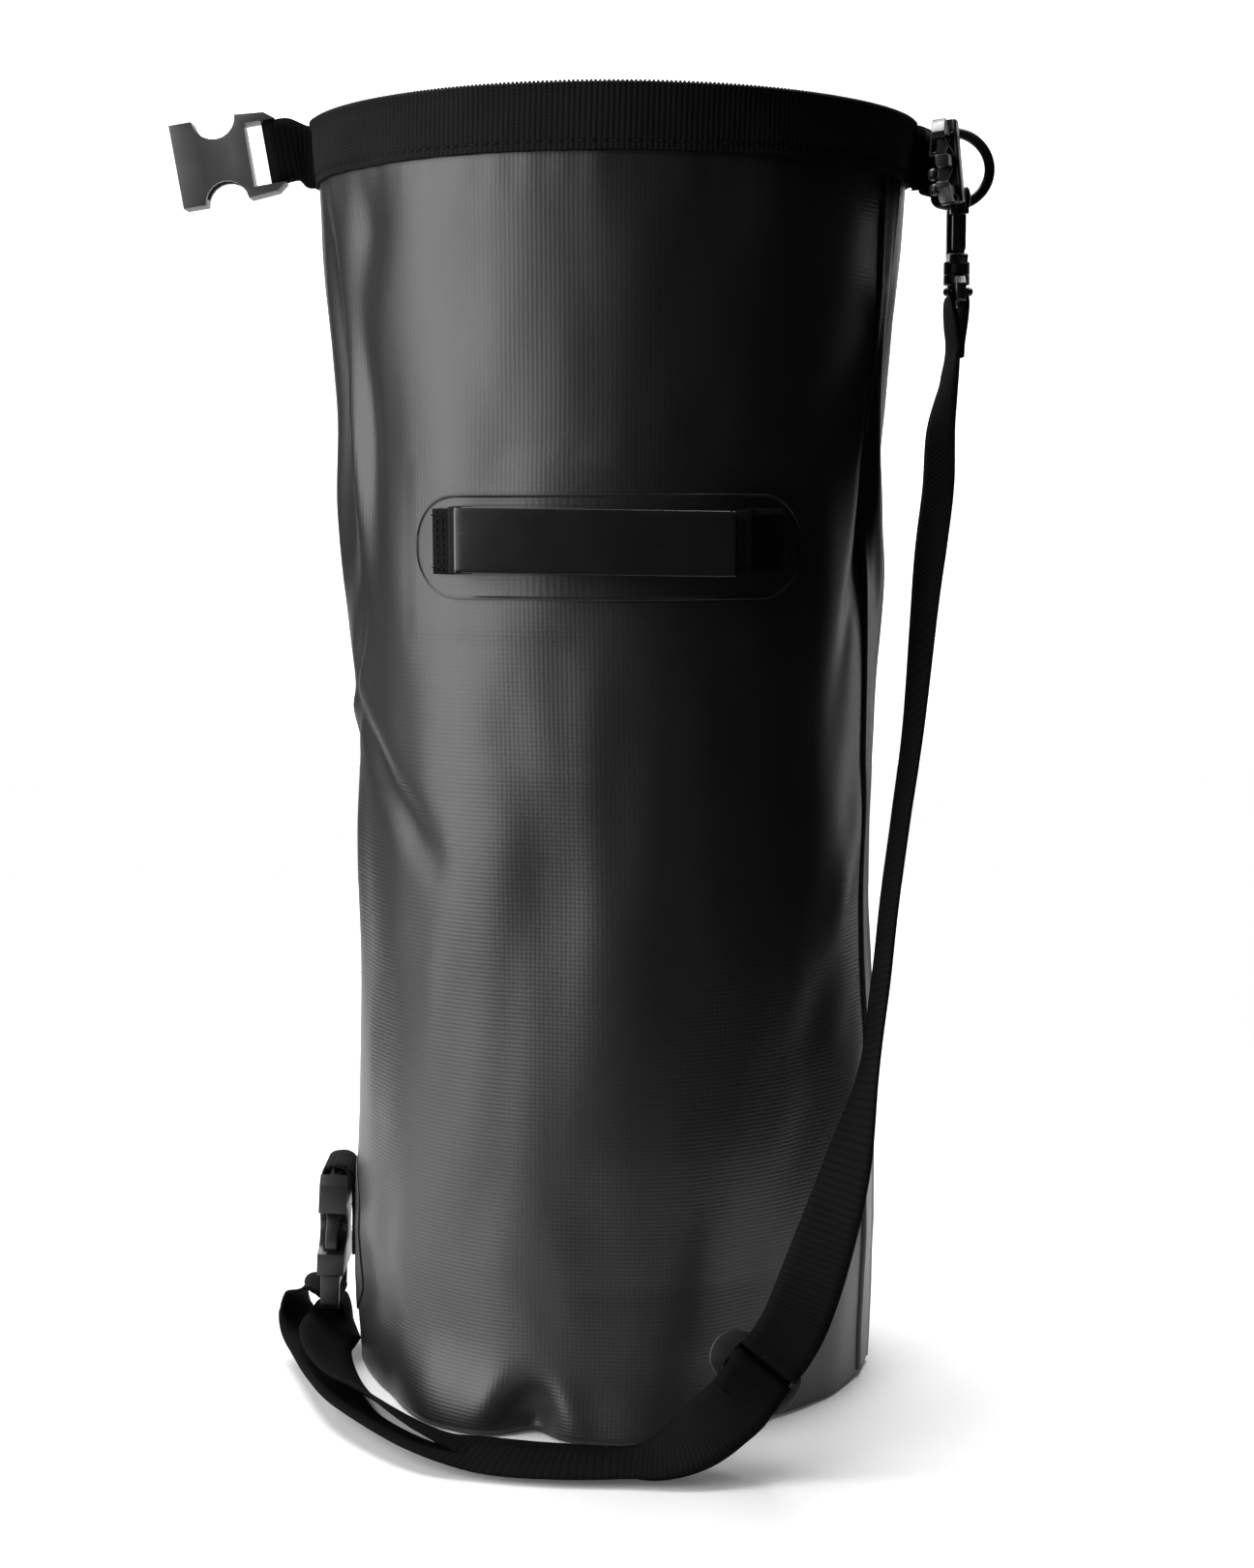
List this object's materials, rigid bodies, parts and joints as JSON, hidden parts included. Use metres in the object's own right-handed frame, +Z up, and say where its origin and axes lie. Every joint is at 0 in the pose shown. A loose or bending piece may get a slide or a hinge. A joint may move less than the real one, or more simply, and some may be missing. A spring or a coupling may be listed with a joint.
{
  "type": "roll-top dry bag",
  "caption": "cylindrical coated-cloth roll-top storage bag with a stiffened webbing rim, side-release buckle ends, a side carry handle and a clip-on shoulder strap",
  "frame": {"origin": "centre of the base panel, on the ground the bag stands on", "axes": "+Z up along the bag, which is its longest extent; the carry handle faces -Y; the closure socket is on the -X side and the snap hook on the +X side"},
  "size_m": [0.3412, 0.2681, 0.5258],
  "materials": {
    "coated_cloth": "black PVC-coated cloth, satin with a fine woven grain",
    "webbing": "black ribbed polypropylene webbing, matte",
    "buckle_plastic": "black moulded acetal, satin",
    "rubber_grip": "smooth black vinyl sleeve with a soft gloss",
    "stiffener": "black sheet plastic, hidden in the rim fold",
    "coated_metal": "black coated steel wire, satin"
  },
  "bodies": {
    "bag": {"base_panel": "coated_cloth", "body_tube": "coated_cloth", "side_seam_tape": "coated_cloth", "rim_webbing_front": "webbing", "rim_webbing_back": "webbing", "rim_stiffener": "stiffener", "left_rim_loop": "webbing", "right_rim_loop": "webbing", "plug_loop": "webbing", "lower_anchor_patch": "coated_cloth", "lower_loop": "webbing", "handle_backing_patch": "coated_cloth", "handle_patch": "coated_cloth", "handle_end_left": "webbing", "handle_end_right": "webbing", "strap_upper": "webbing", "strap_lower_inner": "webbing", "strap_lower_outer": "webbing", "strap_adjuster": "buckle_plastic"},
    "closure_socket": {"closure_socket": "buckle_plastic"},
    "closure_plug": {"closure_plug": "buckle_plastic"},
    "closure_plug_arm_upper": {"closure_plug_arm_upper": "buckle_plastic"},
    "closure_plug_arm_lower": {"closure_plug_arm_lower": "buckle_plastic"},
    "d_ring": {"d_ring": "coated_metal"},
    "snap_hook": {"snap_hook": "buckle_plastic"},
    "hook_gate": {"hook_gate": "buckle_plastic"},
    "swivel_eye": {"swivel_eye": "buckle_plastic"},
    "lower_buckle": {"lower_socket": "buckle_plastic", "lower_plug": "buckle_plastic"},
    "lower_plug_arm_front": {"lower_plug_arm_front": "buckle_plastic"},
    "lower_plug_arm_rear": {"lower_plug_arm_rear": "buckle_plastic"},
    "handle": {"handle_webbing": "webbing", "handle_sleeve": "rubber_grip"}
  },
  "joints": [
    {"name": "closure_socket_swing", "type": "hinge", "parent": "bag", "child": "closure_socket", "pos_m": [-0.1395, 0, 0.5103], "axis": [-0.165, 0, 0.9863], "range_deg": [-90, 90]},
    {"name": "closure_plug_swing", "type": "hinge", "parent": "bag", "child": "closure_plug", "pos_m": [0.1376, -0.013, 0.504], "axis": [-0.1179, -0.0753, 0.9902], "range_deg": [-15, 45]},
    {"name": "closure_plug_arm_upper_squeeze", "type": "hinge", "parent": "closure_plug", "child": "closure_plug_arm_upper", "pos_m": [0.13315, -0.02754, 0.51388], "axis": [0.9683, -0.2297, 0.0978], "range_deg": [0, 8], "stiffness_Nm_per_rad": 0.06},
    {"name": "closure_plug_arm_lower_squeeze", "type": "hinge", "parent": "closure_plug", "child": "closure_plug_arm_lower", "pos_m": [0.13584, -0.02582, 0.4913], "axis": [0.9683, -0.2297, 0.0978], "range_deg": [-8, 0], "stiffness_Nm_per_rad": 0.06},
    {"name": "d_ring_swing", "type": "hinge", "parent": "bag", "child": "d_ring", "pos_m": [0.1366, 0, 0.5045], "axis": [0.225, 0, 0.9744], "range_deg": [-3, 60], "deforming": ["strap_upper"]},
    {"name": "hook_swivel", "type": "hinge", "parent": "d_ring", "child": "snap_hook", "pos_m": [0.143, 0, 0.4888], "axis": [0, 0, 1], "range_deg": [-12, 12]},
    {"name": "hook_gate_press", "type": "hinge", "parent": "snap_hook", "child": "hook_gate", "pos_m": [0.143, -0.0055, 0.4714], "axis": [-1, 0, 0], "range_deg": [0, 22], "stiffness_Nm_per_rad": 0.03},
    {"name": "swivel_eye_follow", "type": "hinge", "parent": "bag", "child": "swivel_eye", "pos_m": [0.1366, 0, 0.5045], "axis": [0.225, 0, 0.9744], "range_deg": [-3, 60]},
    {"name": "lower_buckle_swing", "type": "hinge", "parent": "bag", "child": "lower_buckle", "pos_m": [-0.1204, 0, 0.0775], "axis": [0, 1, 0], "range_deg": [0, 90], "deforming": ["strap_lower_inner", "strap_lower_outer"]},
    {"name": "lower_plug_arm_front_squeeze", "type": "hinge", "parent": "lower_buckle", "child": "lower_plug_arm_front", "pos_m": [-0.1222, -0.0114, 0.03634], "axis": [-0.999, 0, 0.0436], "range_deg": [0, 8], "stiffness_Nm_per_rad": 0.06},
    {"name": "lower_plug_arm_rear_squeeze", "type": "hinge", "parent": "lower_buckle", "child": "lower_plug_arm_rear", "pos_m": [-0.1222, 0.0114, 0.03634], "axis": [-0.999, 0, 0.0436], "range_deg": [-8, 0], "stiffness_Nm_per_rad": 0.06},
    {"name": "handle_lift", "type": "hinge", "parent": "bag", "child": "handle", "pos_m": [0, -0.09289, 0.351], "axis": [1, 0, 0], "range_deg": [-25, 25], "deforming": ["handle_end_left", "handle_end_right"]}
  ],
  "couplings": [
    {"joint": "closure_plug_arm_lower_squeeze", "follows": "closure_plug_arm_upper_squeeze", "ratio": -1},
    {"joint": "lower_plug_arm_rear_squeeze", "follows": "lower_plug_arm_front_squeeze", "ratio": -1},
    {"joint": "swivel_eye_follow", "follows": "d_ring_swing", "ratio": 1}
  ]
}
